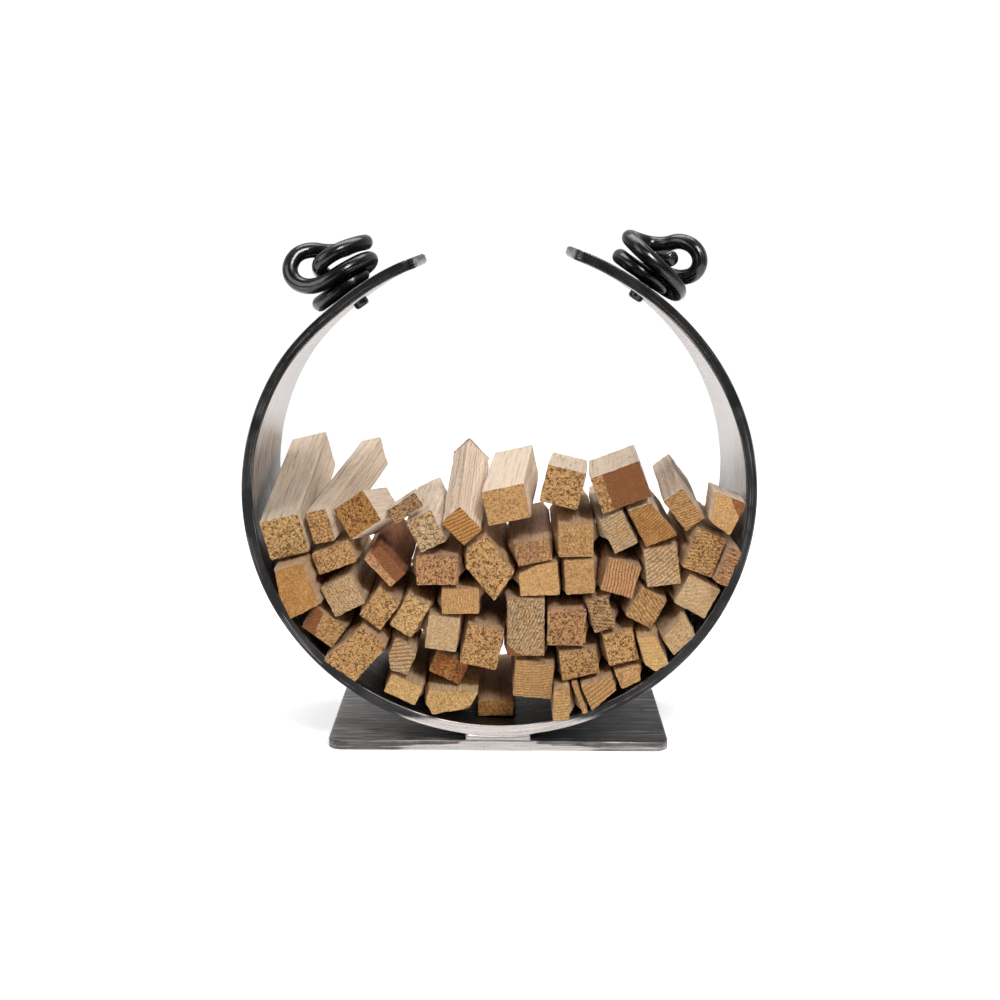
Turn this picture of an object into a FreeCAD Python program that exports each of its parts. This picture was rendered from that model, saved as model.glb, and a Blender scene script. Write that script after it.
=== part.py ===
"""Firewood log rack: a forged oval ring of flat bar on a base plate, with two knots of round bar.

Frame: millimetres, +Z up, X to the right and Y away from the front.  The origin is the middle of
the base plate's underside.  The load of kindling in the ring is modelled stick by stick.
"""
import FreeCAD, Part
import math
import os

# Driving dimensions of the rack
BAR_WIDTH = 150.0            # flat bar of the ring, measured front to back
BAR_THICKNESS = 8.0
RING_HALF_WIDTH = 187.5      # outside of the oval
RING_HALF_HEIGHT = 181.5
RING_CENTRE_Z = 193.0
LEFT_TIP_ANGLE = -19.0       # the oval is open between these two angles, measured from the top
RIGHT_TIP_ANGLE = 16.0
LEFT_END_ARC = 42.0          # the last stretch of each end leaves the oval a little
RIGHT_END_ARC = 36.0
LEFT_END_FLATTENING = 2.0
RIGHT_END_FLARE = 4.0
TIP_CORNER_RADIUS = 12.0
PLATE_WIDTH = 254.0
PLATE_THICKNESS = 8.0
PLATE_CORNER_RADIUS = 10.0
PLATE_EDGE_RADIUS = 1.5
NECK_WIDTH = 48.0
NECK_BLANK_HEIGHT = 48.0     # height of the neck's bar before its top is hollowed
NECK_CUT_MARGIN = 5.0
KNOT_BAR = 12.0              # diameter of the round bar
KNOT_HOLE = 12.6             # hole through the ring for the bar's tail
TAIL_CHAMFER = 1.5
DRILL_LENGTH = 30.0
DRILL_RUN_OUT = 4.0          # the drill starts this far below the tail's end
BEND_SHARE = 0.48            # share of the shorter run that a bend of the round bar takes up

# Each knot has its own frame: u along the bar of the ring, n outwards and y to the back
LEFT_KNOT_BASE = (-118.5, 341.0)
LEFT_KNOT_SLOPE = 35.0
RIGHT_KNOT_BASE = (110.6, 350.0)
RIGHT_KNOT_SLOPE = -33.0

# Route of the round bar through each knot, from the tail under the ring to the hidden end: (u, n, y)
LEFT_KNOT_ROUTE = (
    (3, -21, 0), (3, -6, 0), (8, -1.5, 0), (14, -1, -1.5), (17, -1, -7.5), (14.5, -1, -14),
    (7.5, -1, -19), (-2, -1, -20.5), (-13, -1, -18), (-22, -1, -8), (-23.5, -0.5, 4),
    (-16, 0, 16), (0, 1, 22), (15, 2, 19), (25, 3, 9), (29, 5, -5), (23.5, 7, -19.5),
    (11.5, 8.5, -27.5), (-1, 9, -29.5), (-12, 10, -27), (-22, 15, -22), (-27.5, 24, -18),
    (-25, 34, -14), (-15, 39.5, -9), (-4, 36, -5), (3, 28.5, 2), (12, 23, 12), (23, 21, 14.5),
    (31, 18, 7), (32.5, 17, -5), (28, 19, -16), (18, 22, -24), (7, 23.5, -27), (-4, 23, -24),
    (-7, 17, -14.5), (-5, 8, -6.5),
)
RIGHT_KNOT_ROUTE = (
    (2, -20.5, 0), (2, -5.5, 0), (6, -1, 0), (11, -0.5, -1.5), (14, -0.5, -7), (11.5, -0.5, -13.5),
    (4.5, -0.5, -18.5), (-4, -0.5, -20), (-14, -0.5, -18), (-23, 0, -9), (-25.5, 0.5, 3),
    (-18, 0.5, 16), (-3, 0, 21.5), (12, -0.5, 19), (23, -0.5, 9), (27.5, 1, -4), (23, 5, -17.5),
    (11, 8, -26.5), (-2, 10, -28.5), (-15, 12, -25.5), (-25, 14.5, -16), (-28, 16, -4),
    (-22, 17.5, 8), (-10, 21, 14), (0, 27, 10), (6, 35, 3), (17, 37.5, -3), (27, 32, -6),
    (30, 21, -4), (23.5, 12.5, 1), (14, 9, 6), (5, 9, 8), (0, 13, 4), (3, 18, -3), (9, 20.5, -12),
)

# Kindling: sawn sticks of about this length, with their front ends about here
STICK_LENGTH = 158.0
STICK_FRONT = -80.0


def ring_point(angle, offset):
    """Point of the ring's outline, offset inwards from the outer face; the angle is from the top."""
    turn = math.radians(angle)
    x = RING_HALF_WIDTH * math.sin(turn)
    z = RING_CENTRE_Z + RING_HALF_HEIGHT * math.cos(turn)
    outward = FreeCAD.Vector(math.sin(turn) / RING_HALF_WIDTH, 0, math.cos(turn) / RING_HALF_HEIGHT)
    outward.normalize()
    left_run = (LEFT_TIP_ANGLE - angle) / LEFT_END_ARC
    right_run = (angle - RIGHT_TIP_ANGLE) / RIGHT_END_ARC
    shift = -offset
    if 0 <= left_run < 1:
        shift -= LEFT_END_FLATTENING * math.sin(math.pi * left_run) ** 2
    if 0 <= right_run < 1:
        shift += RIGHT_END_FLARE * (1 - right_run) ** 2
    return FreeCAD.Vector(x, 0, z) + outward * shift


def ring_curve(offset, steps=72):
    """Smooth curve along the open ring, clockwise from the right tip round to the left tip."""
    sweep = 360 + LEFT_TIP_ANGLE - RIGHT_TIP_ANGLE
    angles = [RIGHT_TIP_ANGLE + sweep * step / steps for step in range(steps + 1)]
    points = []
    for angle in angles:
        signed = angle - 360 if angle > 180 else angle
        points.append(ring_point(signed, offset))
    curve = Part.BSplineCurve()
    curve.interpolate(points)
    return curve.toShape()


def edges_along(shape, direction, where):
    """Straight edges parallel to a direction whose middle passes a test."""
    found = []
    for edge in shape.Edges:
        if not isinstance(edge.Curve, Part.Line):
            continue
        along = (edge.lastVertex().Point - edge.firstVertex().Point).normalize()
        if abs(abs(along.dot(direction)) - 1) < 1e-3 and where(edge.CenterOfMass):
            found.append(edge)
    return found


def knot_place(base, slope):
    """Placement that turns (u, y, n) of a knot into the rack's X, Y and Z."""
    turn = FreeCAD.Rotation(FreeCAD.Vector(0, 1, 0), -slope)
    return FreeCAD.Placement(FreeCAD.Vector(base[0], 0, base[1]), turn)


def tail_hole(route, place):
    """Drill through the ring along the tail of a knot's bar."""
    u, n, y = route[0]
    drill = Part.makeCylinder(KNOT_HOLE / 2, DRILL_LENGTH, FreeCAD.Vector(u, y, n - DRILL_RUN_OUT))
    drill.Placement = place
    return drill


def ring_band():
    outer = ring_curve(0)
    inner = ring_curve(BAR_THICKNESS)
    tips = [Part.makeLine(outer.firstVertex().Point, inner.firstVertex().Point)]
    tips.append(Part.makeLine(outer.lastVertex().Point, inner.lastVertex().Point))
    outline = Part.Wire(Part.__sortEdges__([outer, tips[1], inner, tips[0]]))
    face = Part.Face(outline)
    face.translate(FreeCAD.Vector(0, -BAR_WIDTH / 2, 0))
    band = face.extrude(FreeCAD.Vector(0, BAR_WIDTH, 0))
    for tip in tips:
        direction = (tip.lastVertex().Point - tip.firstVertex().Point).normalize()
        middle = tip.CenterOfMass
        corners = edges_along(band, direction, lambda point: abs(point.x - middle.x) < 2)
        band = band.makeFillet(TIP_CORNER_RADIUS, corners)
    return band


def base_plate():
    plate = Part.makeBox(PLATE_WIDTH, BAR_WIDTH, PLATE_THICKNESS)
    plate.translate(FreeCAD.Vector(-PLATE_WIDTH / 2, -BAR_WIDTH / 2, 0))
    upright = edges_along(plate, FreeCAD.Vector(0, 0, 1), lambda point: True)
    plate = plate.makeFillet(PLATE_CORNER_RADIUS, upright)
    rim = [edge for edge in plate.Edges if abs(edge.CenterOfMass.z - PLATE_THICKNESS) < 0.01]
    return plate.makeFillet(PLATE_EDGE_RADIUS, rim)


def neck_block():
    """Filler bar between the plate and the ring, with its top hollowed to the ring."""
    block = Part.makeBox(NECK_WIDTH, BAR_WIDTH, NECK_BLANK_HEIGHT)
    block.translate(FreeCAD.Vector(-NECK_WIDTH / 2, -BAR_WIDTH / 2, PLATE_THICKNESS))
    oval = Part.Ellipse(FreeCAD.Vector(0, 0, 0), RING_HALF_WIDTH, RING_HALF_HEIGHT)
    disc = Part.Face(Part.Wire(oval.toShape()))
    disc = disc.extrude(FreeCAD.Vector(0, 0, BAR_WIDTH + 2 * NECK_CUT_MARGIN))
    disc.rotate(FreeCAD.Vector(0, 0, 0), FreeCAD.Vector(1, 0, 0), 90)
    disc.translate(FreeCAD.Vector(0, BAR_WIDTH / 2 + NECK_CUT_MARGIN, RING_CENTRE_Z))
    return block.cut(disc)


def rounded_path(points):
    """Straight runs through the points, with a tangent arc at every corner."""
    edges = []
    start = points[0]
    for before, corner, after in zip(points, points[1:], points[2:]):
        to_corner = (corner - before).normalize()
        from_corner = (after - corner).normalize()
        half_turn = to_corner.getAngle(from_corner) / 2
        reach = BEND_SHARE * min((corner - before).Length, (after - corner).Length)
        radius = reach / math.tan(half_turn)
        inward = (from_corner - to_corner).normalize()
        middle = corner + inward * (radius / math.cos(half_turn) - radius)
        arc_start = corner - to_corner * reach
        arc_end = corner + from_corner * reach
        edges.append(Part.LineSegment(start, arc_start).toShape())
        edges.append(Part.Arc(arc_start, middle, arc_end).toShape())
        start = arc_end
    edges.append(Part.LineSegment(start, points[-1]).toShape())
    return Part.Wire(edges)


def knot(route, place):
    """Round bar bent along its route, with a chamfered tail under the ring."""
    path = rounded_path([FreeCAD.Vector(u, y, n) for u, n, y in route])
    tail = path.Edges[0]
    along = (tail.lastVertex().Point - tail.firstVertex().Point).normalize()
    start = tail.firstVertex().Point
    profile = Part.Wire(Part.makeCircle(KNOT_BAR / 2, start, along))
    bar = path.makePipeShell([profile], True, False)
    ends = [edge for edge in bar.Edges if edge.CenterOfMass.distanceToPoint(start) < 0.01]
    bar = bar.makeChamfer(TAIL_CHAMFER, ends)
    bar.Placement = place
    print("knot bar", round(path.Length), "mm long, volume ratio",
          round(bar.Volume / (path.Length * math.pi * KNOT_BAR ** 2 / 4), 4))
    return bar


def stick(x, height, width, depth, roll, yaw=0, pitch=0, length=STICK_LENGTH, front=STICK_FRONT):
    """Square-sawn stick; its front end is centred x across and at this height above the ground."""
    shape = Part.makeBox(width, length, depth, FreeCAD.Vector(-width / 2, 0, -depth / 2))
    turned = FreeCAD.Rotation(-yaw, 0, 0) * FreeCAD.Rotation(FreeCAD.Vector(1, 0, 0), pitch)
    turned = turned * FreeCAD.Rotation(FreeCAD.Vector(0, 1, 0), -roll)
    shape.Placement = FreeCAD.Placement(FreeCAD.Vector(x, front, height), turned)
    return shape


def split_stick(*outline, length=STICK_LENGTH, front=STICK_FRONT):
    """Stick split along the grain, given the corners of its front end: (x, height above ground)."""
    corners = [FreeCAD.Vector(x, front, height) for x, height in outline]
    face = Part.Face(Part.makePolygon(corners + corners[:1]))
    return face.extrude(FreeCAD.Vector(0, length, 0))


def kindling():
    """The load, from the loose top row down to the bottom of the ring."""
    return (
        stick(-156, 162, 30, 31, 14, pitch=11, length=190),
        stick(-130, 170, 17, 25, 14, yaw=8, pitch=9, length=185),
        stick(-103, 179, 28, 26, 35, yaw=16, pitch=-6, length=50),
        stick(-68, 184, 25, 12, 34, length=22),
        stick(-27, 171, 19, 25, 43, yaw=1, pitch=9, length=175),
        stick(5, 187, 32, 26, 13, yaw=3, pitch=2, length=165),
        stick(46, 200, 29, 28, -13, yaw=3, pitch=-4, length=130),
        stick(88, 200, 38, 28, 21, yaw=2, length=90),
        stick(134, 184, 17, 28, 38, yaw=2, pitch=1, length=160),
        split_stick((152, 177), (155, 200), (178, 191), (166, 167), front=-92, length=45),
        stick(149, 153, 23, 31, -21, front=-85),
        split_stick((93, 183), (110, 189), (130, 165), (107, 156)),
        stick(87, 167, 19, 27, 27),
        stick(56, 161, 26, 25, 1),
        stick(25, 152, 26, 17, 12),
        split_stick((-24, 153), (-10, 165), (12, 137), (-3, 115), (-24, 140)),
        stick(-45, 138, 31, 22, 1),
        stick(-53, 167, 21, 26, 26),
        stick(-83, 141, 16, 29, 43),
        stick(-120, 147, 30, 17, 21),
        stick(-114, 119, 25, 25, 27),
        split_stick((-161, 141), (-141, 147), (-129, 116), (-150, 105), (-158, 122), front=-98),
        stick(-128, 95, 28, 19, -36),
        split_stick((-128, 72), (-99, 98), (-82, 85), (-83, 80), (-105, 56), front=-88),
        stick(-87, 109, 20, 26, -36),
        stick(-65, 104, 19, 28, -31),
        stick(-28, 115, 28, 19, 1),
        stick(-41, 91, 24, 26, -8),
        stick(-12, 81, 28, 31, -12),
        stick(20, 96, 28, 44, 0),
        stick(50, 96, 29, 28, -1),
        stick(75, 106, 17, 25, 16),
        split_stick((14, 135), (26, 142), (43, 146), (45, 120), (16, 119)),
        stick(59, 134, 22, 26, 4),
        stick(89, 133, 25, 25, -15),
        stick(119, 142, 25, 29, 7),
        stick(145, 120, 26, 25, -28),
        stick(165, 145, 10, 28, -21, front=-95),
        stick(108, 111, 22, 25, -28),
        split_stick((119, 90), (135, 108), (144, 93), (128, 77), front=-88),
        split_stick((101, 91), (114, 93), (125, 71), (115, 65), (107, 70), front=-88),
        stick(90, 81, 23, 24, 13),
        split_stick((85, 63), (105, 69), (105, 56), (91, 49)),
        split_stick((44, 77), (71, 81), (75, 62), (47, 55)),
        stick(26, 56, 29, 27, -5),
        split_stick((41, 52), (52, 54), (53, 41), (52, 29), (40, 28), front=-92),
        stick(60, 44, 4, 25, 21, front=-86),
        split_stick((60, 54), (83, 62), (87, 51), (79, 43), (69, 34), front=-86),
        stick(-2, 27, 27, 12, 1, front=-56, length=135),
        split_stick((-52, 48), (-14, 47), (-21, 34), (-49, 29), (-54, 38)),
        stick(-37, 62, 26, 17, -25, front=-70, length=150),
        split_stick((-76, 87), (-67, 84), (-60, 75), (-67, 59), (-80, 63), (-81, 75)),
        stick(-70, 48, 26, 15, -25),
    )


def save(name, shape):
    solids = shape.Solids
    assert len(solids) == 1 and solids[0].isValid(), name
    solids[0].exportStep("parts/" + name + ".step")


def main():
    os.makedirs("parts", exist_ok=True)
    left_place = knot_place(LEFT_KNOT_BASE, LEFT_KNOT_SLOPE)
    right_place = knot_place(RIGHT_KNOT_BASE, RIGHT_KNOT_SLOPE)
    band = ring_band()
    band = band.cut(tail_hole(LEFT_KNOT_ROUTE, left_place))
    band = band.cut(tail_hole(RIGHT_KNOT_ROUTE, right_place))
    save("ring_band", band)
    save("base_plate", base_plate())
    save("neck_block", neck_block())
    save("left_knot", knot(LEFT_KNOT_ROUTE, left_place))
    save("right_knot", knot(RIGHT_KNOT_ROUTE, right_place))
    for number, piece in enumerate(kindling(), start=1):
        save("kindling_" + str(number).zfill(2), piece)


main()
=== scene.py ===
"""Firewood log rack: looks for the ring, its base, the two knots and the load of kindling."""
import math
import random
import bpy
from mathutils import Matrix, Vector, noise
from mathutils.bvhtree import BVHTree


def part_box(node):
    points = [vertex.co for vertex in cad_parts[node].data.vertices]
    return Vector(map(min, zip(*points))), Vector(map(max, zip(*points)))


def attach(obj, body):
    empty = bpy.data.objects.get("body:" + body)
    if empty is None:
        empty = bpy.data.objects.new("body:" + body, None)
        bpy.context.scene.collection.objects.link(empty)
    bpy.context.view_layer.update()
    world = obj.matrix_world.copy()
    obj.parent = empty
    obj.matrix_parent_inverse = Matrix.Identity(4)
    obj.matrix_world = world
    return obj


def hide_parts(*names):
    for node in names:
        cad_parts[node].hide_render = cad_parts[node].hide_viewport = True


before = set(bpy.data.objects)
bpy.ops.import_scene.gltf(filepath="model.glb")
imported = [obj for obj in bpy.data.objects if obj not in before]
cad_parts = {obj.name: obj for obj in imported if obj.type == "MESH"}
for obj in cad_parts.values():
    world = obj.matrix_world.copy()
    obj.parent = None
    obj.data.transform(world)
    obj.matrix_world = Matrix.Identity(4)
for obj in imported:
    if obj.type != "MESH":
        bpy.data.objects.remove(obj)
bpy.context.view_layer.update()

MM = 0.001

# The oval ring of flat bar: its angles are in degrees from the top, clockwise seen from the front
RING_LOW, RING_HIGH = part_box("ring_band")
HALF_WIDTH = (RING_HIGH.x - RING_LOW.x) / 2
RING_CENTRE = 193 * MM
HALF_HEIGHT = RING_CENTRE - RING_LOW.z
HALF_DEPTH = (RING_HIGH.y - RING_LOW.y) / 2
THICKNESS = 8 * MM
RIGHT_TIP = 16.0
LEFT_TIP = -19.0
RIGHT_ARC = 36.0
LEFT_ARC = 42.0
RIGHT_FLARE = 4 * MM
LEFT_FLATTENING = 2 * MM
TIP_RADIUS = 12 * MM

# Ring and plate are flush with the neck up to the first distance from the middle, and have their
# own worn edges from the second one on
FLUSH_TO = (22 * MM, 30 * MM)

KNOT_RADIUS = 6 * MM

# The first sticks lie on top of the load, and the sides of one of them are torn
TOP_ROW = 10
TORN = 5

# Lower sticks whose tops are in the light; their sides get the same painted light as the top row's
EXPOSED = (12, 13, 18)

# The split sides of a stick swell into the gaps beside it, by these amounts at most
HIDDEN_SWELL = 5.5 * MM
UPWARD_SWELL = 1.2 * MM
TOP_ROW_SWELL = 0.6 * MM
GAP_REACH = 12 * MM
GAP_OVERLAP = 0.1 * MM
MEASURED_AT = (0.15, 0.3, 0.45, 0.6, 0.75)

# Depth of the saw marks on a stick's ends
SAW_DEPTH = 0.35 * MM

# Each knot: where it sits on the ring, the slope there, and the route of its bar as (u, n, y), in mm
KNOTS = {
    "left_knot": ((-118.5, 341.0), 35.0, (
        (3, -21, 0), (3, -13.5, 0), (3, -6, 0), (8, -1.5, 0), (14, -1, -1.5), (17, -1, -7.5),
        (14.5, -1, -14), (7.5, -1, -19), (-2, -1, -20.5), (-13, -1, -18), (-22, -1, -8),
        (-23.5, -0.5, 4), (-16, 0, 16), (0, 1, 22), (15, 2, 19), (25, 3, 9), (29, 5, -5),
        (23.5, 7, -19.5), (11.5, 8.5, -27.5), (-1, 9, -29.5), (-12, 10, -27), (-22, 15, -22),
        (-27.5, 24, -18), (-25, 34, -14), (-15, 39.5, -9), (-4, 36, -5), (3, 28.5, 2), (12, 23, 12),
        (23, 21, 14.5), (31, 18, 7), (32.5, 17, -5), (28, 19, -16), (18, 22, -24), (7, 23.5, -27),
        (-4, 23, -24), (-7, 17, -14.5), (-5, 8, -6.5))),
    "right_knot": ((110.6, 350.0), -33.0, (
        (2, -20.5, 0), (2, -13, 0), (2, -5.5, 0), (6, -1, 0), (11, -0.5, -1.5), (14, -0.5, -7),
        (11.5, -0.5, -13.5), (4.5, -0.5, -18.5), (-4, -0.5, -20), (-14, -0.5, -18), (-23, 0, -9),
        (-25.5, 0.5, 3), (-18, 0.5, 16), (-3, 0, 21.5), (12, -0.5, 19), (23, -0.5, 9), (27.5, 1, -4),
        (23, 5, -17.5), (11, 8, -26.5), (-2, 10, -28.5), (-15, 12, -25.5), (-25, 14.5, -16),
        (-28, 16, -4), (-22, 17.5, 8), (-10, 21, 14), (0, 27, 10), (6, 35, 3), (17, 37.5, -3),
        (27, 32, -6), (30, 21, -4), (23.5, 12.5, 1), (14, 9, 6), (5, 9, 8), (0, 13, 4),
        (3, 18, -3), (9, 20.5, -12))),
}

# Colours of sawn wood (linear)
TINTS = {
    "straw": (0.50, 0.31, 0.125), "tan": (0.46, 0.26, 0.105), "pale": (0.47, 0.32, 0.175),
    "orange": (0.40, 0.185, 0.052), "brown": (0.34, 0.16, 0.06), "pink": (0.41, 0.21, 0.10),
    "grey": (0.36, 0.22, 0.11), "rust": (0.27, 0.09, 0.022),
}
HEART = (0.12, 0.032, 0.008)

# Each stick's end: (tint, direction of its growth rings in degrees, how strong the rings are, how
# strong the pores are), and for some the side of the dark heartwood in degrees, how far across it
# starts, and for one stick how much of it shows along the sides
LOOKS = (
    ("straw", 40, 0.25, 1.0), ("tan", 15, 0.6, 0.6), ("orange", 60, 0.2, 0.9),
    ("grey", 30, 0.7, 0.7), ("orange", 25, 1.0, 0.2), ("tan", 5, 0.15, 0.4),
    ("tan", 80, 0.1, 0.9), ("tan", 20, 0.2, 0.7, 20, -0.4), ("tan", 20, 0.8, 0.4),
    ("tan", 0, 0.15, 0.2, 25, 0.42), ("tan", -5, 0.7, 0.8), ("orange", 40, 0.8, 0.3),
    ("pale", 35, 0.6, 0.3), ("tan", -60, 0.3, 0.4), ("pink", 85, 0.3, 0.5),
    ("tan", 70, 0.1, 0.9), ("pink", 80, 0.3, 1.0), ("pale", 40, 0.15, 1.0),
    ("pink", 10, 0.2, 0.5, 40, -0.1, 1.0), ("tan", 60, 0.2, 0.6), ("pale", -55, 0.4, 0.4),
    ("orange", 85, 0.1, 0.2), ("tan", 20, 0.3, 0.5, 160, 0.25), ("tan", 35, 0.25, 0.9),
    ("tan", 10, 0.15, 0.9), ("straw", -10, 0.2, 0.6), ("tan", 80, 0.5, 0.2),
    ("pale", 10, 0.1, 0.2), ("tan", -40, 0.2, 1.0), ("pale", 65, 0.7, 0.5, 230, 0.72),
    ("pink", 85, 0.2, 0.8), ("grey", -5, 0.7, 0.7), ("tan", 10, 0.1, 0.2), ("tan", -50, 0.15, 0.3),
    ("pink", 80, 1.0, 0.1), ("pale", 40, 0.8, 0.4), ("pale", 5, 0.35, 0.1), ("pink", -20, 0.6, 0.8),
    ("tan", -55, 0.8, 0.5), ("pale", 50, 0.2, 0.3), ("straw", 5, 0.3, 0.1), ("tan", 0, 0.2, 1.0),
    ("tan", 20, 0.2, 0.4), ("tan", 70, 0.1, 0.7), ("tan", 0, 0.6, 0.1), ("straw", 5, 0.6, 0.3),
    ("tan", 65, 0.5, 0.2), ("tan", 40, 0.8, 0.1), ("orange", 30, 0.15, 0.5),
    ("straw", 60, 0.2, 0.4, 300, 0.4), ("rust", 50, 0.15, 0.6), ("pale", 3, 1.0, 0.2),
    ("straw", 10, 0.1, 0.2),
)


# Meshes

def smooth_step(value, low, high):
    share = min(1.0, max(0.0, (value - low) / (high - low)))
    return share * share * (3 - 2 * share)


def add_attribute(mesh, name, kind, values):
    """Stores one value for each point of a mesh."""
    key = {"FLOAT": "value", "FLOAT_VECTOR": "vector", "FLOAT_COLOR": "color"}[kind]
    layer = mesh.attributes.new(name, kind, "POINT")
    flat = values if kind == "FLOAT" else [number for value in values for number in value]
    layer.data.foreach_set(key, flat)


def make_piece(name, points, faces, attributes, material, body, node):
    """Object from points and faces that stands for a CAD node, with one shader."""
    mesh = bpy.data.meshes.new(name)
    mesh.from_pydata([tuple(point) for point in points], [], faces)
    for label, (kind, values) in attributes.items():
        add_attribute(mesh, label, kind, values)
    mesh.polygons.foreach_set("use_smooth", [True] * len(mesh.polygons))
    mesh.materials.append(material)
    mesh.update()
    piece = bpy.data.objects.new(name, mesh)
    bpy.context.scene.collection.objects.link(piece)
    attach(piece, body)
    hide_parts(node)
    return piece


def skin(loops, count):
    """Faces between loops of points, each with the same count, whose order is shared."""
    faces = []
    for row in range(loops - 1):
        for column in range(count):
            after = (column + 1) % count
            low = row * count
            high = low + count
            faces.append((low + column, low + after, high + after, high + column))
    return faces


def cap(first, count, centre, flip):
    """Fan that closes a loop on a middle point."""
    faces = []
    for column in range(count):
        after = (column + 1) % count
        corner = (first + column, first + after, centre)
        faces.append(corner[::-1] if flip else corner)
    return faces


# Materials

class Shader:
    """Small helper that adds and joins nodes of one material."""

    def __init__(self, name):
        self.material = bpy.data.materials.new(name)
        self.material.use_nodes = True
        self.tree = self.material.node_tree
        self.surface = self.tree.nodes["Principled BSDF"]

    def add(self, kind, settings=None, **inputs):
        node = self.tree.nodes.new(kind)
        for key, value in (settings or {}).items():
            setattr(node, key, value)
        for key, value in inputs.items():
            self.feed(node, key.replace("_", " "), value)
        return node

    def feed(self, node, key, value):
        socket = node.inputs[int(key)] if key.isdigit() else node.inputs[key]
        if isinstance(value, bpy.types.NodeSocket):
            self.tree.links.new(value, socket)
        else:
            socket.default_value = value

    def attribute(self, name, output="Fac"):
        node = self.add("ShaderNodeAttribute", {"attribute_name": name})
        return node.outputs[output]

    def math(self, operation, first, second=0.5, clamp=False):
        node = self.add("ShaderNodeMath", {"operation": operation, "use_clamp": clamp})
        self.feed(node, "0", first)
        self.feed(node, "1", second)
        return node.outputs[0]

    def stretch(self, vector, scale):
        node = self.add("ShaderNodeVectorMath", {"operation": "MULTIPLY"})
        self.feed(node, "0", vector)
        self.feed(node, "1", scale)
        return node.outputs[0]

    def noise(self, vector, scale, detail=3.0, roughness=0.55, distortion=0.0):
        node = self.add("ShaderNodeTexNoise", None, Vector=vector, Scale=scale, Detail=detail,
                        Roughness=roughness, Distortion=distortion)
        return node.outputs["Fac"]

    def ramp(self, value, low, high, start=0.0, end=1.0):
        node = self.add("ShaderNodeMapRange", {"interpolation_type": "SMOOTHSTEP"}, Value=value)
        self.feed(node, "From Min", low)
        self.feed(node, "From Max", high)
        self.feed(node, "To Min", start)
        self.feed(node, "To Max", end)
        return node.outputs[0]

    def mix(self, share, first, second, blend="MIX"):
        node = self.add("ShaderNodeMix", {"data_type": "RGBA", "blend_type": blend})
        self.feed(node, "0", share)
        self.feed(node, "6", first)
        self.feed(node, "7", second)
        return node.outputs[2]

    def bump(self, height, strength, distance):
        node = self.add("ShaderNodeBump", None, Height=height, Strength=strength, Distance=distance)
        self.feed(self.surface, "Normal", node.outputs[0])

    def finish(self, colour, roughness, metallic, specular):
        self.feed(self.surface, "Base Color", colour)
        self.feed(self.surface, "Roughness", roughness)
        self.feed(self.surface, "Metallic", metallic)
        self.surface.inputs["Specular IOR Level"].default_value = specular
        return self.material


def opaque(colour):
    return (colour[0], colour[1], colour[2], 1.0)


def wood_material():
    """Rough sawn wood: rings and pores on the ends, pale fibres along the sides, painted paler still on
    sticks whose sides are in the light.
    """
    shader = Shader("sawn_wood")
    grain = shader.attribute("grain", "Vector")
    side = shader.attribute("side")
    tint = shader.attribute("tint", "Color")
    fibre = shader.stretch(grain, (1.0, 1.0, 0.07))
    blotch = shader.noise(grain, 75.0, 3.0)
    speck = shader.noise(fibre, 1250.0, 4.0, 0.8)
    pore = shader.noise(fibre, 520.0, 3.0, 0.65, 0.8)
    strand = shader.noise(shader.stretch(grain, (420.0, 420.0, 9.0)), 1.0, 3.0, 0.6)
    bend = shader.math("MULTIPLY", shader.noise(grain, 110.0, 2.0), 1.1)
    ring = shader.math("FRACT", shader.math("ADD", shader.attribute("ring"), bend))
    late = shader.ramp(ring, 0.3, 0.85)
    late = shader.math("SUBTRACT", late, shader.ramp(ring, 0.88, 1.0), True)
    late = shader.math("MULTIPLY", late, shader.attribute("lines"))
    late = shader.math("MULTIPLY", late, shader.ramp(side, 0.0, 1.0, 1.0, 0.45))
    pored = shader.math("MULTIPLY", shader.attribute("pores"), 1.4, True)
    holes = shader.math("MULTIPLY", shader.ramp(pore, 0.51, 0.60), pored)
    holes = shader.math("MULTIPLY", holes, shader.ramp(side, 0.0, 1.0, 1.0, 0.2))
    colour = shader.mix(shader.ramp(blotch, 0.35, 0.7, 0.0, 0.45), tint, (0.47, 0.26, 0.09, 1.0))
    light = shader.ramp(speck, 0.32, 0.68, 0.45, 1.5)
    colour = shader.mix(1.0, colour, light, "MULTIPLY")
    pale = shader.mix(shader.ramp(strand, 0.5, 0.74), (0.82, 0.69, 0.56, 1.0),
                      (0.44, 0.33, 0.24, 1.0))
    # The sides go pale with their split fibres, and further by painted light where the stick is lit
    pale_sides_and_painted_light = shader.mix(shader.attribute("pale_sides_and_painted_light"), colour, pale)
    colour = shader.mix(side, colour, pale_sides_and_painted_light)
    dark = shader.mix(1.0, colour, (0.24, 0.13, 0.07, 1.0), "MULTIPLY")
    colour = shader.mix(shader.math("MULTIPLY", late, 0.72), colour, dark)
    colour = shader.mix(shader.math("MULTIPLY", holes, 0.92), colour, dark)
    heart = shader.math("ADD", shader.attribute("heart"), shader.ramp(blotch, 0.2, 0.8, -0.25, 0.25))
    heart = shader.math("MULTIPLY", shader.ramp(heart, 0.4, 0.6), 0.88)
    stain = shader.mix(shader.ramp(pore, 0.35, 0.65), opaque(HEART), (0.27, 0.095, 0.030, 1.0))
    stain = shader.mix(shader.math("MULTIPLY", late, 1.4, True), stain, opaque(HEART))
    colour = shader.mix(heart, colour, stain)
    height = shader.math("SUBTRACT", shader.math("MULTIPLY", speck, 0.5), holes)
    height = shader.math("SUBTRACT", height, shader.math("MULTIPLY", late, 0.4))
    split = shader.math("MULTIPLY", shader.math("MULTIPLY", strand, side), 0.8)
    height = shader.math("SUBTRACT", height, split)
    shader.bump(height, 0.8, 0.0008)
    return shader.finish(colour, shader.ramp(speck, 0.3, 0.7, 0.72, 0.92), 0.0, 0.25)


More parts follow.
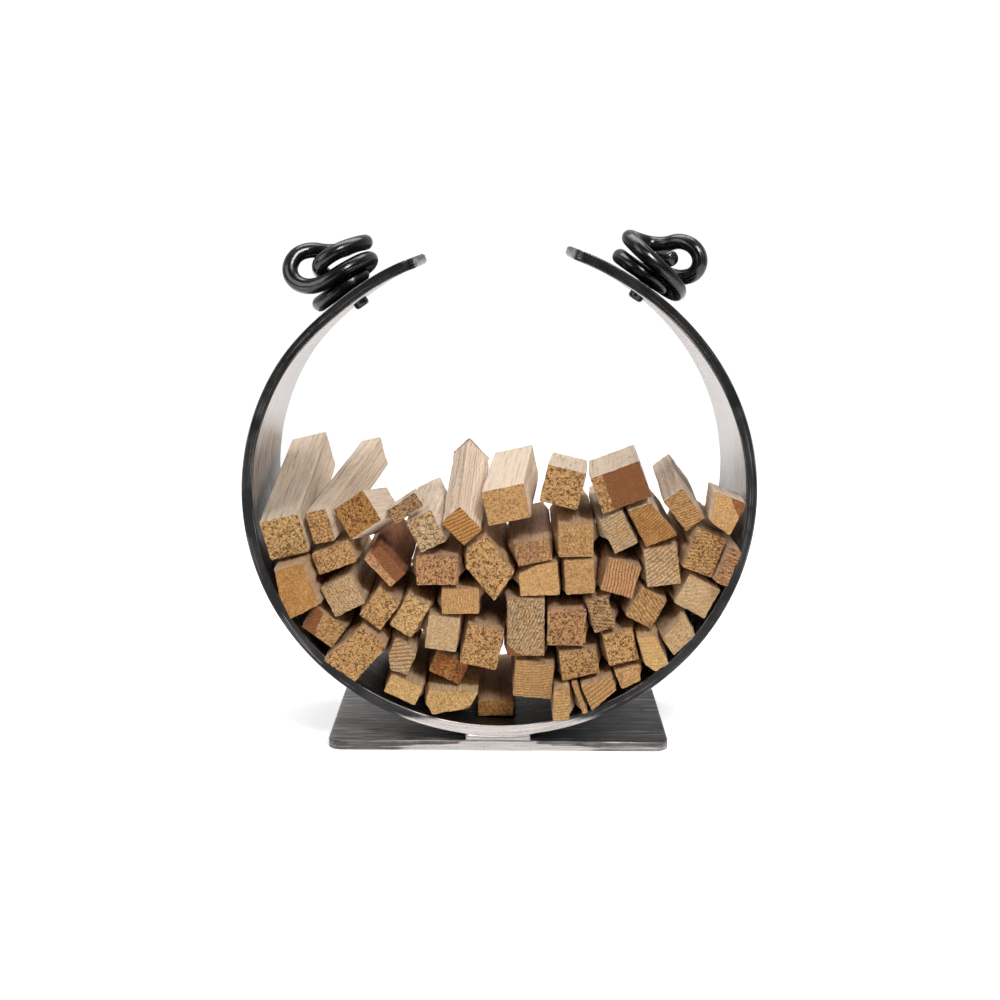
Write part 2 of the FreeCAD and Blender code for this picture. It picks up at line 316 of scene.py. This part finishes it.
def steel_material(name, dark, bright, streaks, shine, rubbing=0.44):
    """Flat bar with brushed streaks along it; its bright-metal attribute says where it is ground bright
    and where light is painted on it, and rubbing how bright the streaks on the rest of it are."""
    shader = Shader(name)
    grain = shader.attribute("grain", "Vector")
    bare_and_painted_light = shader.attribute("bare_and_painted_light")
    line = shader.noise(shader.stretch(grain, streaks), 1.0, 4.0, 0.65)
    scuff = shader.noise(shader.stretch(grain, tuple(2.7 * part for part in streaks)), 1.0, 3.0, 0.6)
    cloud = shader.noise(grain, 28.0, 4.0, 0.6)
    spot = shader.noise(grain, 900.0, 2.0, 0.6)
    rubbed = shader.math("MULTIPLY", shader.ramp(line, 0.53, 0.68), shader.ramp(cloud, 0.38, 0.56))
    patchy = shader.math("ADD", bare_and_painted_light, shader.ramp(scuff, 0.3, 0.7, -0.22, 0.22))
    patchy = shader.math("MULTIPLY", shader.ramp(patchy, 0.3, 0.7), shader.ramp(bare_and_painted_light, 0.02, 0.2))
    shown = shader.math("MAXIMUM", patchy, shader.math("MULTIPLY", rubbed, rubbing))
    greyer = opaque([2.0 * part for part in dark])
    duller = opaque([0.62 * part for part in bright])
    scale = shader.mix(shader.ramp(cloud, 0.35, 0.7), opaque(dark), greyer)
    clean = shader.mix(shader.ramp(scuff, 0.35, 0.68), duller, opaque(bright))
    clean = shader.mix(shader.ramp(spot, 0.62, 0.72, 0.0, 0.6), clean, opaque(dark))
    colour = shader.mix(shown, scale, clean)
    rough = shader.ramp(scuff, 0.3, 0.7, shine[0], shine[1])
    shader.bump(shader.math("ADD", scuff, shader.math("MULTIPLY", cloud, 0.6)), 0.35, 0.0003)
    return shader.finish(colour, rough, 0.85, 0.5)


def knot_material():
    """Glossy black bar, worn to grey in streaks along its length."""
    shader = Shader("gloss_black_bar")
    grain = shader.attribute("grain", "Vector")
    streak = shader.noise(shader.stretch(grain, (30.0, 380.0, 1.0)), 1.0, 3.0, 0.6)
    dent = shader.noise(grain, 75.0, 2.0, 0.5)
    worn = shader.math("MULTIPLY", shader.ramp(streak, 0.55, 0.72), shader.ramp(dent, 0.42, 0.6))
    colour = shader.mix(worn, (0.004, 0.004, 0.005, 1.0), (0.20, 0.19, 0.19, 1.0))
    rough = shader.ramp(streak, 0.3, 0.7, 0.12, 0.38)
    shader.bump(shader.math("ADD", dent, shader.math("MULTIPLY", streak, 0.5)), 0.35, 0.0010)
    shader.surface.inputs["Coat Weight"].default_value = 0.3
    shader.surface.inputs["Coat Roughness"].default_value = 0.12
    return shader.finish(colour, rough, 0.3, 0.6)


# The ring

def ring_point(angle, offset):
    """Point of the ring in its own plane, offset inwards from the outer face; angle from the top."""
    turn = math.radians(angle)
    place = Vector((HALF_WIDTH * math.sin(turn), RING_CENTRE + HALF_HEIGHT * math.cos(turn)))
    outward = Vector((math.sin(turn) / HALF_WIDTH, math.cos(turn) / HALF_HEIGHT)).normalized()
    signed = angle - 360 if angle > 180 else angle
    left_run = (LEFT_TIP - signed) / LEFT_ARC
    right_run = (signed - RIGHT_TIP) / RIGHT_ARC
    shift = -offset
    if 0 <= left_run < 1:
        shift -= LEFT_FLATTENING * math.sin(math.pi * left_run) ** 2
    if 0 <= right_run < 1:
        shift += RIGHT_FLARE * (1 - right_run) ** 2
    return place + outward * shift


def band_section(half, inset, edge=1.1 * MM, across=44, round_steps=4, edge_steps=6):
    """Loop round the bar's section: (depth, offset from the outer face, where on the section)."""
    low = inset
    high = THICKNESS - inset
    flat = high - low - 2 * edge
    rows = [-half + edge + (2 * half - 2 * edge) * step / across for step in range(across + 1)]
    loop = [(y, low, "outer") for y in rows]
    turns = [math.pi / 2 * step / round_steps for step in range(1, round_steps)]
    loop += [(half - edge + edge * math.sin(t), low + edge * (1 - math.cos(t)), "corner") for t in turns]
    for step in range(edge_steps + 1):
        loop.append((half, low + edge + flat * step / edge_steps, "edge"))
    loop += [(half - edge + edge * math.cos(t), high - edge * (1 - math.sin(t)), "corner") for t in turns]
    loop += [(y, high, "inner") for y in reversed(rows)]
    loop += [(-half + edge - edge * math.sin(t), high - edge * (1 - math.cos(t)), "corner") for t in turns]
    for step in range(edge_steps + 1):
        loop.append((-half, high - edge - flat * step / edge_steps, "edge"))
    loop += [(-half + edge - edge * math.cos(t), low + edge * (1 - math.sin(t)), "corner") for t in turns]
    return loop


def ring_piece():
    """The open ring of flat bar, swept from its right tip round the bottom to its left tip."""
    sweep = 360 + LEFT_TIP - RIGHT_TIP
    length = math.radians(sweep) * (HALF_WIDTH + HALF_HEIGHT) / 2
    tip = [value * MM for value in (0.0, 0.25, 0.7, 1.3, 2.2, 3.6, 5.4, 8.0, 12.0)]
    steps = 300
    stations = tip + [tip[-1] + (length - 2 * tip[-1]) * step / steps for step in range(1, steps)]
    stations += [length - value for value in reversed(tip)]
    points, grain, bare_and_painted_light = [], [], []
    for run in stations:
        near = min(run, length - run)
        rounding = max(0.0, TIP_RADIUS - near)
        half = HALF_DEPTH - TIP_RADIUS + math.sqrt(TIP_RADIUS ** 2 - rounding ** 2)
        inset = 1.6 * MM * (1 - smooth_step(near, 0, 2.2 * MM))
        angle = RIGHT_TIP + sweep * run / length
        worn = smooth_step(abs(ring_point(angle, 0).x), *FLUSH_TO)
        worn = worn if 90 < angle < 270 else 1.0
        for y, offset, place in band_section(half, inset, (0.12 + 0.98 * worn) * MM):
            dent = 0.16 * MM * (1 + noise.noise(Vector((run * 34, y * 30, offset * 60))))
            flat = ring_point(angle, offset + (dent * worn if place == "outer" else 0))
            points.append(Vector((flat.x, y, flat.y)))
            grain.append((run, y, offset))
            at_bottom = 0.040 + 0.035 * (1 - offset / THICKNESS) - abs(flat.x)
            ground = smooth_step(at_bottom, -0.022, 0.022) if flat.y < RING_CENTRE else 0
            # Painted highlight: the last few millimetres of each tip are painted bright
            tip_painted_highlight = 0.6 * (1 - smooth_step(near, 1 * MM, 4 * MM))
            # Painted reflection and painted shade: the inner face is painted bright above the load, as if
            # reflecting the white room behind, and dark lower down where the load shades it; on the right
            # it reaches full brightness lower down
            painted_light_from = 0.26 if flat.x > 0 else 0.31
            inner_painted_light = 0.10 + 0.80 * smooth_step(flat.y, 0.11, painted_light_from)
            # Painted highlight: the rounded corners of the bar are painted lighter all along the ring
            shown = {"edge": 0.0, "corner": 0.36, "inner": inner_painted_light, "outer": 0.0}[place]
            if place in ("edge", "corner"):
                shown = max(shown, ground, tip_painted_highlight)
            bare_and_painted_light.append(shown)
    count = len(band_section(HALF_DEPTH, 0))
    faces = [face[::-1] for face in skin(len(stations), count)]
    rows = tuple(range(count))
    faces.append(rows)
    faces.append(tuple((len(stations) - 1) * count + column for column in reversed(rows)))
    data = {"grain": ("FLOAT_VECTOR", grain), "bare_and_painted_light": ("FLOAT", bare_and_painted_light)}
    steel = steel_material("blackened_steel", (0.017, 0.017, 0.018), (0.66, 0.61, 0.59),
                           (9.0, 230.0, 1300.0), (0.24, 0.42))
    return make_piece("ring", points, faces, data, steel, "rack", "ring_band")


# The base

def rounded_rectangle(half_x, half_y, radius, spacing):
    """Outline with round corners, anticlockwise, with points about this far apart."""
    loop = []
    corners = ((1, 1, 0), (-1, 1, 90), (-1, -1, 180), (1, -1, 270))
    steps = 8
    for sign_x, sign_y, start in corners:
        centre = Vector((sign_x * (half_x - radius), sign_y * (half_y - radius)))
        for step in range(steps + 1):
            turn = math.radians(start + 90 * step / steps)
            loop.append(centre + radius * Vector((math.cos(turn), math.sin(turn))))
    full = []
    for here, after in zip(loop, loop[1:] + loop[:1]):
        pieces = max(1, round((after - here).length / spacing))
        full += [here.lerp(after, step / pieces) for step in range(pieces)]
    return full


def plate_piece():
    """The base plate: its underside, its rounded edge and its top, as loops of one outline."""
    low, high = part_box("base_plate")
    outline = rounded_rectangle((high.x - low.x) / 2, (high.y - low.y) / 2, 10 * MM, 3 * MM)
    top = high.z - low.z
    edge = 1.5 * MM
    rows = []
    for step in range(5):
        turn = math.pi / 2 * step / 4
        rows.append((0.6 * edge * (1 - math.sin(turn)), 0.6 * edge * (1 - math.cos(turn))))
    rows += [(0.0, top * share) for share in (0.25, 0.4, 0.5, 0.6, 0.75)]
    for step in range(6):
        turn = math.pi / 2 * step / 5
        rows.append((edge * (1 - math.cos(turn)), top - edge * (1 - math.sin(turn))))
    half = Vector(((high.x - low.x) / 2, (high.y - low.y) / 2))
    loops_in = 22
    shrinks = [0.97 - 0.97 * step / loops_in for step in range(loops_in)]
    points, grain, bare_and_painted_light = [], [], []

    # The plate's edge is bright in the middle and worn low down, and its top has a painted reflection of
    # the fill light that makes it lighter on the left
    def add(share, inset, z, shown):
        for spot in outline:
            under_neck = 1 - smooth_step(abs(spot.x), *FLUSH_TO)
            worn = inset * (1 - 0.92 * under_neck)
            place = Vector((spot.x * (share - worn / half.x), spot.y * (share - worn / half.y)))
            dent = 0.12 * MM * (1 + noise.noise(Vector((place.x * 40, place.y * 40, 3))))
            drop = dent * (1 - under_neck) if z > 0.9 * top else 0
            points.append(Vector((place.x, place.y, low.z + z - drop)))
            grain.append((place.x, place.y, z))
            if shown > 0.5:
                upper = smooth_step(z, 0.42 * top, 0.68 * top)
                bright_to = (60 - 34 * upper) * MM
                middle = 1 - smooth_step(abs(place.x), bright_to, bright_to + (26 - 20 * upper) * MM)
                worn_low = (0.42 if place.x > 0 else 0.28) * (1 - upper)
                bare_and_painted_light.append(max(0.95 * middle, 0.04 + worn_low))
            else:
                # Painted reflection: the top is painted lighter towards the left, where it faces the fill
                # light
                left = smooth_step(-place.x, -20 * MM, 60 * MM)
                bare_and_painted_light.append(shown + 0.42 * left)

    for share in reversed(shrinks):
        add(share, 0, 0, 0.1)
    for inset, z in rows:
        add(1, inset, z, 0.9 if z < 0.9 * top else 0.15)
    for share in shrinks:
        add(share, edge, top, 0.1)
    count = len(outline)
    loops = len(points) // count
    points += [Vector((0, 0, low.z)), Vector((0, 0, low.z + top))]
    grain += [(0, 0, 0), (0, 0, top)]
    bare_and_painted_light += [0.1, 0.12]
    faces = skin(loops, count)
    faces += cap(0, count, len(points) - 2, True)
    faces += cap((loops - 1) * count, count, len(points) - 1, False)
    data = {"grain": ("FLOAT_VECTOR", grain), "bare_and_painted_light": ("FLOAT", bare_and_painted_light)}
    steel = steel_material("brushed_plate_steel", (0.072, 0.068, 0.068), (0.64, 0.60, 0.58),
                           (13.0, 260.0, 900.0), (0.32, 0.5), 0.85)
    return make_piece("plate", points, faces, data, steel, "rack", "base_plate")


def neck_piece():
    """The ground block between plate and ring, with a top that follows the ring."""
    low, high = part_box("neck_block")
    half = (high.x - low.x) / 2
    columns = 24
    outline = [Vector((low.x + 2 * half * step / columns, low.z)) for step in range(columns + 1)]
    for step in range(columns + 1):
        x = high.x - 2 * half * step / columns
        z = RING_CENTRE - HALF_HEIGHT * math.sqrt(1 - (x / HALF_WIDTH) ** 2)
        outline.append(Vector((x, z)))
    middle = Vector((0, (low.z + high.z) / 2))
    points, grain, bare_and_painted_light = [], [], []
    depth_rows = 30
    for step in range(depth_rows + 1):
        y = low.y + (high.y - low.y) * step / depth_rows
        inset = 0.05 * MM if step in (0, depth_rows) else 0
        for spot in outline:
            place = spot + (middle - spot).normalized() * inset
            points.append(Vector((place.x, y, place.y)))
            grain.append((place.x, y, place.y))
            bare_and_painted_light.append(0.95 if step in (0, depth_rows) else 0.1)
    count = len(outline)
    faces = [face[::-1] for face in skin(depth_rows + 1, count)]
    for first, flip in ((0, False), (depth_rows * count, True)):
        for column in range(columns):
            quad = (column, column + 1, count - 2 - column, count - 1 - column)
            quad = tuple(first + corner for corner in quad)
            faces.append(quad[::-1] if flip else quad)
    data = {"grain": ("FLOAT_VECTOR", grain), "bare_and_painted_light": ("FLOAT", bare_and_painted_light)}
    steel = steel_material("ground_steel", (0.05, 0.05, 0.053), (0.58, 0.54, 0.51),
                           (30.0, 200.0, 500.0), (0.3, 0.5))
    return make_piece("neck", points, faces, data, steel, "rack", "neck_block")


# The knots

def smooth_route(route, base, slope):
    """Points along the smooth curve that the bar follows."""
    turn = math.radians(slope)
    curve = bpy.data.curves.new("route", "CURVE")
    curve.dimensions = "3D"
    curve.resolution_u = 10
    spline = curve.splines.new("NURBS")
    spline.points.add(len(route) - 1)
    for point, (u, n, y) in zip(spline.points, route):
        x = base[0] + u * math.cos(turn) - n * math.sin(turn)
        z = base[1] + u * math.sin(turn) + n * math.cos(turn)
        point.co = (x * MM, y * MM, z * MM, 1)
    spline.order_u = 3
    spline.use_endpoint_u = True
    holder = bpy.data.objects.new("route", curve)
    bpy.context.scene.collection.objects.link(holder)
    bpy.context.view_layer.update()
    mesh = bpy.data.meshes.new_from_object(holder)
    path = [vertex.co.copy() for vertex in mesh.vertices]
    bpy.data.objects.remove(holder)
    bpy.data.meshes.remove(mesh)
    return path


def knot_piece(node, material):
    """Round bar along the knot's route, a little uneven and with chamfered ends."""
    base, slope, route = KNOTS[node]
    path = smooth_route(route, base, slope)
    around = 30
    points, grain = [], []
    normal = None
    run = 0.0
    total = sum((after - here).length for here, after in zip(path, path[1:]))
    for index, place in enumerate(path):
        ahead = path[min(index + 1, len(path) - 1)]
        behind = path[max(index - 1, 0)]
        along = (ahead - behind).normalized()
        if normal is None:
            normal = along.orthogonal().normalized()
        normal = (normal - along * normal.dot(along)).normalized()
        other = along.cross(normal)
        if index:
            run += (place - path[index - 1]).length
        near = min(run, total - run)
        chamfer = 1.3 * MM * (1 - smooth_step(near, 0, 1.8 * MM))
        for step in range(around):
            turn = 2 * math.pi * step / around
            rough = noise.noise(Vector((run * 60, 1.6 * math.cos(turn), 1.6 * math.sin(turn))))
            radius = KNOT_RADIUS - 0.14 * MM * (1 + rough) - chamfer
            points.append(place + radius * (normal * math.cos(turn) + other * math.sin(turn)))
            grain.append((run, KNOT_RADIUS * 2 * abs(turn - math.pi), 0))
    faces = skin(len(path), around)
    points += [path[0], path[-1]]
    grain += [(0, 0, 0), (total, 0, 0)]
    faces += cap(0, around, len(points) - 2, True)
    faces += cap((len(path) - 1) * around, around, len(points) - 1, False)
    name = "bar_" + node
    return make_piece(name, points, faces, {"grain": ("FLOAT_VECTOR", grain)}, material, "rack", node)


# The kindling

def stick_shape(node):
    """The stick's place: middle of its front end, the directions across, up and along, its length
    and the corners of its end."""
    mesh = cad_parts[node].data
    corners = {}
    for vertex in mesh.vertices:
        corners[tuple(round(value, 6) for value in vertex.co)] = vertex.co.copy()
    ordered = sorted(corners.values(), key=lambda point: point.y)
    front = ordered[:len(ordered) // 2]
    back = ordered[len(ordered) // 2:]
    start = sum(front, Vector()) / len(front)
    end = sum(back, Vector()) / len(back)
    along = (end - start).normalized()
    across = (Vector((1, 0, 0)) - along * along.x).normalized()
    up = across.cross(along)
    flat = [Vector(((point - start).dot(across), (point - start).dot(up))) for point in front]
    flat.sort(key=lambda spot: math.atan2(spot.y, spot.x))
    return start, across, up, along, (end - start).length, flat


def stick_outline(corners, spacing=1.15 * MM):
    """Outline of the stick's end with its corners worn a little."""
    loop = []
    for here, after in zip(corners, corners[1:] + corners[:1]):
        pieces = max(3, round((after - here).length / spacing))
        loop += [here.lerp(after, step / pieces) for step in range(pieces)]
    return [(loop[i - 1] + 2 * loop[i] + loop[(i + 1) % len(loop)]) / 4 for i in range(len(loop))]


def load_surface():
    """The sticks and the ring of the CAD frame as one surface, to measure the gaps between them."""
    points, faces = [], []
    for name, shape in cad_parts.items():
        if not name.startswith("kindling") and name != "ring_band":
            continue
        first = len(points)
        points += [vertex.co.copy() for vertex in shape.data.vertices]
        faces += [tuple(first + corner for corner in face.vertices) for face in shape.data.polygons]
    return BVHTree.FromPolygons(points, faces)


def belly(place, outward, most):
    """How far the split side of a stick swells at a point: about half the gap to its neighbour."""
    if outward.z > 0.5:
        most = UPWARD_SWELL
    spot, _, _, gap = LOAD.ray_cast(place + outward * GAP_OVERLAP, outward, GAP_REACH)
    if spot is None:
        return 0.0
    return min(most, max(0.0, gap / 2 + GAP_OVERLAP))


def stick_piece(number, look, material):
    """One stick: two sawn ends and its split sides, as loops of one outline."""
    node = "kindling_" + str(number).zfill(2)
    tint, direction, lines, pores = look[:4]
    rand = random.Random(number)
    start, across, up, along, length, corners = stick_shape(node)
    outline = stick_outline(corners)
    shift = Vector((rand.uniform(0, 9), rand.uniform(0, 9), rand.uniform(0, 9)))
    turn = math.radians(direction + 90)
    to_pith = Vector((math.cos(turn), math.sin(turn))) * rand.uniform(60, 170) * MM
    ring_width = rand.uniform(1.9, 2.9) * MM
    reach = max(spot.length for spot in corners)
    value = rand.uniform(0.88, 1.12)
    colour = [part * value for part in TINTS[tint]] + [1.0]
    points, grain, ring, side, heart = [], [], [], [], []

    def add(spot, depth, on_side, sunk):
        points.append(start + across * spot.x + up * spot.y + along * (depth + sunk))
        grain.append((spot.x + shift.x, spot.y + shift.y, depth + shift.z))
        ring.append((spot - to_pith).length / ring_width)
        side.append(on_side)
        dark = 0.0
        if len(look) > 4:
            lean = math.radians(look[4])
            across_end = (spot.x * math.cos(lean) + spot.y * math.sin(lean)) / reach
            dark = smooth_step(across_end - look[5], -0.12, 0.12)
        if on_side:
            dark *= look[6] if len(look) > 6 else 0.3
        heart.append(dark)

    normals = []
    for index, spot in enumerate(outline):
        edge = outline[(index + 1) % len(outline)] - outline[index - 1]
        normals.append(Vector((edge.y, -edge.x)).normalized())
    swollen = []
    most = TOP_ROW_SWELL if number <= TOP_ROW else HIDDEN_SWELL
    for share in MEASURED_AT:
        row = []
        for spot, normal in zip(outline, normals):
            place = start + across * spot.x + up * spot.y + along * length * share
            row.append(belly(place, across * normal.x + up * normal.y, most))
        swollen.append([(row[i - 2] + 2 * row[i - 1] + 2 * row[i] + 2 * row[(i + 1) % len(row)]
                         + row[(i + 2) % len(row)]) / 8 for i in range(len(row))])
    ragged = 5.0 if number == TORN else 1.0

    # The swell between two measured places is worked out from both, and it fades at the ends
    def swell_at(index, depth):
        rise = smooth_step(depth, 5 * MM, 26 * MM)
        fall = 1 - smooth_step(depth, length - 24 * MM, length - 6 * MM)
        apart = MEASURED_AT[1] - MEASURED_AT[0]
        row = min(len(MEASURED_AT) - 1.001, max(0.0, (depth / length - MEASURED_AT[0]) / apart))
        low = int(row)
        between = swollen[low][index] * (low + 1 - row) + swollen[low + 1][index] * (row - low)
        return rise * fall * between

    def add_loop(share, depth, on_side, inward=1.0):
        for index, spot in enumerate(outline):
            rough = noise.noise(Vector((spot.x * 380, spot.y * 380, depth * 22)) + shift)
            swell = noise.noise(Vector((spot.x * 60, spot.y * 60, depth * 11 * ragged)) - shift)
            trim = (0.26 + 0.42 * rough + 0.16 * (1 + swell) * on_side * ragged) * MM * inward
            place = spot * (share - trim / max(spot.length, 4 * MM))
            if on_side:
                place = place + normals[index] * swell_at(index, depth)
            sunk = 0.0
            if not on_side:
                bite = noise.noise(Vector((spot.x * share * 150, spot.y * share * 150, 4)) + shift)
                sunk = SAW_DEPTH * (1 + bite) * (1 if depth < length / 2 else -1)
            add(place, depth, on_side, sunk)

    loops_in = 8
    shares = [0.96 * (1 - step / loops_in) for step in range(loops_in)]
    for share in reversed(shares):
        add_loop(share, 0.0, 0.0)
    add_loop(0.995, 0.0, 0.0, 1.2)
    steps = max(3, round(length / (6 * MM)))
    depths = [0.5 * MM, 2 * MM] + [length * step / steps for step in range(1, steps)]
    depths += [length - 2 * MM, length - 0.5 * MM]
    for depth in sorted(depths):
        add_loop(1.0, depth, 1.0)
    add_loop(0.995, length, 0.0, 1.2)
    for share in shares:
        add_loop(share, length, 0.0)
    count = len(outline)
    loops = len(points) // count
    add(Vector((0, 0)), 0.0, 0.0, SAW_DEPTH)
    add(Vector((0, 0)), length, 0.0, -SAW_DEPTH)
    faces = skin(loops, count)
    faces += cap(0, count, len(points) - 2, True)
    faces += cap((loops - 1) * count, count, len(points) - 1, False)
    faces = [face[::-1] for face in faces]
    total = len(points)
    # Painted light: the sides of the top row and of the sticks in the light are painted paler, and those
    # of the sticks in shade darker, as painted shade
    pale_sides_and_painted_light = 0.8 if number <= TOP_ROW or number in EXPOSED else 0.3
    data = {"grain": ("FLOAT_VECTOR", grain), "ring": ("FLOAT", ring), "side": ("FLOAT", side),
            "heart": ("FLOAT", heart), "pale_sides_and_painted_light": ("FLOAT", [pale_sides_and_painted_light] * total),
            "lines": ("FLOAT", [lines] * total), "pores": ("FLOAT", [pores] * total),
            "tint": ("FLOAT_COLOR", [colour] * total)}
    name = "stick_" + str(number).zfill(2)
    return make_piece(name, points, faces, data, material, "kindling", node)


# The stage

def stage():
    """White floor, and a world that lights the rack softly and looks white to the camera."""
    floor_material = Shader("pale_floor")
    place = floor_material.add("ShaderNodeNewGeometry").outputs["Position"]
    cloud = floor_material.noise(place, 2.0)
    colour = floor_material.mix(cloud, (0.90, 0.90, 0.90, 1), (0.93, 0.93, 0.93, 1))
    floor_material.surface.inputs["Emission Color"].default_value = (1.0, 1.0, 1.0, 1.0)
    floor_material.surface.inputs["Emission Strength"].default_value = 0.6
    floor_material.finish(colour, 0.9, 0.0, 0.1)
    size = 1.6
    mesh = bpy.data.meshes.new("floor")
    mesh.from_pydata([(-size, -size, 0), (size, -size, 0), (size, size, 0), (-size, size, 0)], [],
                     [(0, 1, 2, 3)])
    mesh.materials.append(floor_material.material)
    floor = bpy.data.objects.new("floor", mesh)
    bpy.context.scene.collection.objects.link(floor)
    world = bpy.data.worlds.new("studio")
    world.use_nodes = True
    tree = world.node_tree
    tree.nodes.clear()
    direction = tree.nodes.new("ShaderNodeTexCoord")
    parts = tree.nodes.new("ShaderNodeSeparateXYZ")
    tree.links.new(direction.outputs["Generated"], parts.inputs[0])
    behind = tree.nodes.new("ShaderNodeMapRange")
    tree.links.new(parts.outputs["Y"], behind.inputs["Value"])
    behind.inputs["From Min"].default_value = -0.6
    behind.inputs["From Max"].default_value = 0.5
    behind.inputs["To Min"].default_value = 0.10
    behind.inputs["To Max"].default_value = 0.62
    dome = tree.nodes.new("ShaderNodeBackground")
    tree.links.new(behind.outputs[0], dome.inputs["Strength"])
    seen = tree.nodes.new("ShaderNodeBackground")
    seen.inputs["Color"].default_value = (1.0, 1.0, 1.0, 1.0)
    seen.inputs["Strength"].default_value = 1.02
    rays = tree.nodes.new("ShaderNodeLightPath")
    choice = tree.nodes.new("ShaderNodeMixShader")
    tree.links.new(rays.outputs["Is Camera Ray"], choice.inputs[0])
    tree.links.new(dome.outputs[0], choice.inputs[1])
    tree.links.new(seen.outputs[0], choice.inputs[2])
    output = tree.nodes.new("ShaderNodeOutputWorld")
    tree.links.new(choice.outputs[0], output.inputs[0])
    bpy.context.scene.world = world


def soft_light(name, place, target, size, power):
    """Rectangular lamp that looks at the target."""
    data = bpy.data.lights.new(name, "AREA")
    data.shape = "RECTANGLE"
    data.size = size[0]
    data.size_y = size[1]
    data.energy = power
    lamp = bpy.data.objects.new(name, data)
    lamp.location = place
    lamp.rotation_euler = (Vector(target) - Vector(place)).to_track_quat("-Z", "Y").to_euler()
    bpy.context.scene.collection.objects.link(lamp)


def camera():
    data = bpy.data.cameras.new("camera")
    data.lens = 58.5
    data.sensor_width = 36
    data.shift_y = -0.013
    eye = bpy.data.objects.new("camera", data)
    heading = Matrix.Rotation(math.radians(0.28), 4, "Z")
    pitch = Matrix.Rotation(math.radians(90 - 9.23), 4, "X")
    roll = Matrix.Rotation(math.radians(0.27), 4, "Z")
    eye.matrix_world = Matrix.Translation((0.0063, -1.239, 0.3884)) @ heading @ pitch @ roll
    bpy.context.scene.collection.objects.link(eye)
    bpy.context.scene.camera = eye


camera()
stage()
LOAD = load_surface()
soft_light("key", place=(0.5, -1.35, 1.45), target=(0, 0, 0.15), size=(0.45, 0.45), power=23.5)
soft_light("fill", place=(-1.4, -0.9, 0.9), target=(0, 0, 0.2), size=(0.8, 1.0), power=8)
soft_light("top", place=(0, 0.3, 1.6), target=(0, 0, 0.2), size=(1.2, 0.8), power=14)
bpy.context.scene.view_settings.view_transform = "Standard"
ring_piece()
plate_piece()
neck_piece()
black_bar = knot_material()
for knot in KNOTS:
    knot_piece(knot, black_bar)
wood = wood_material()
for number, look in enumerate(LOOKS, start=1):
    stick_piece(number, look, wood)
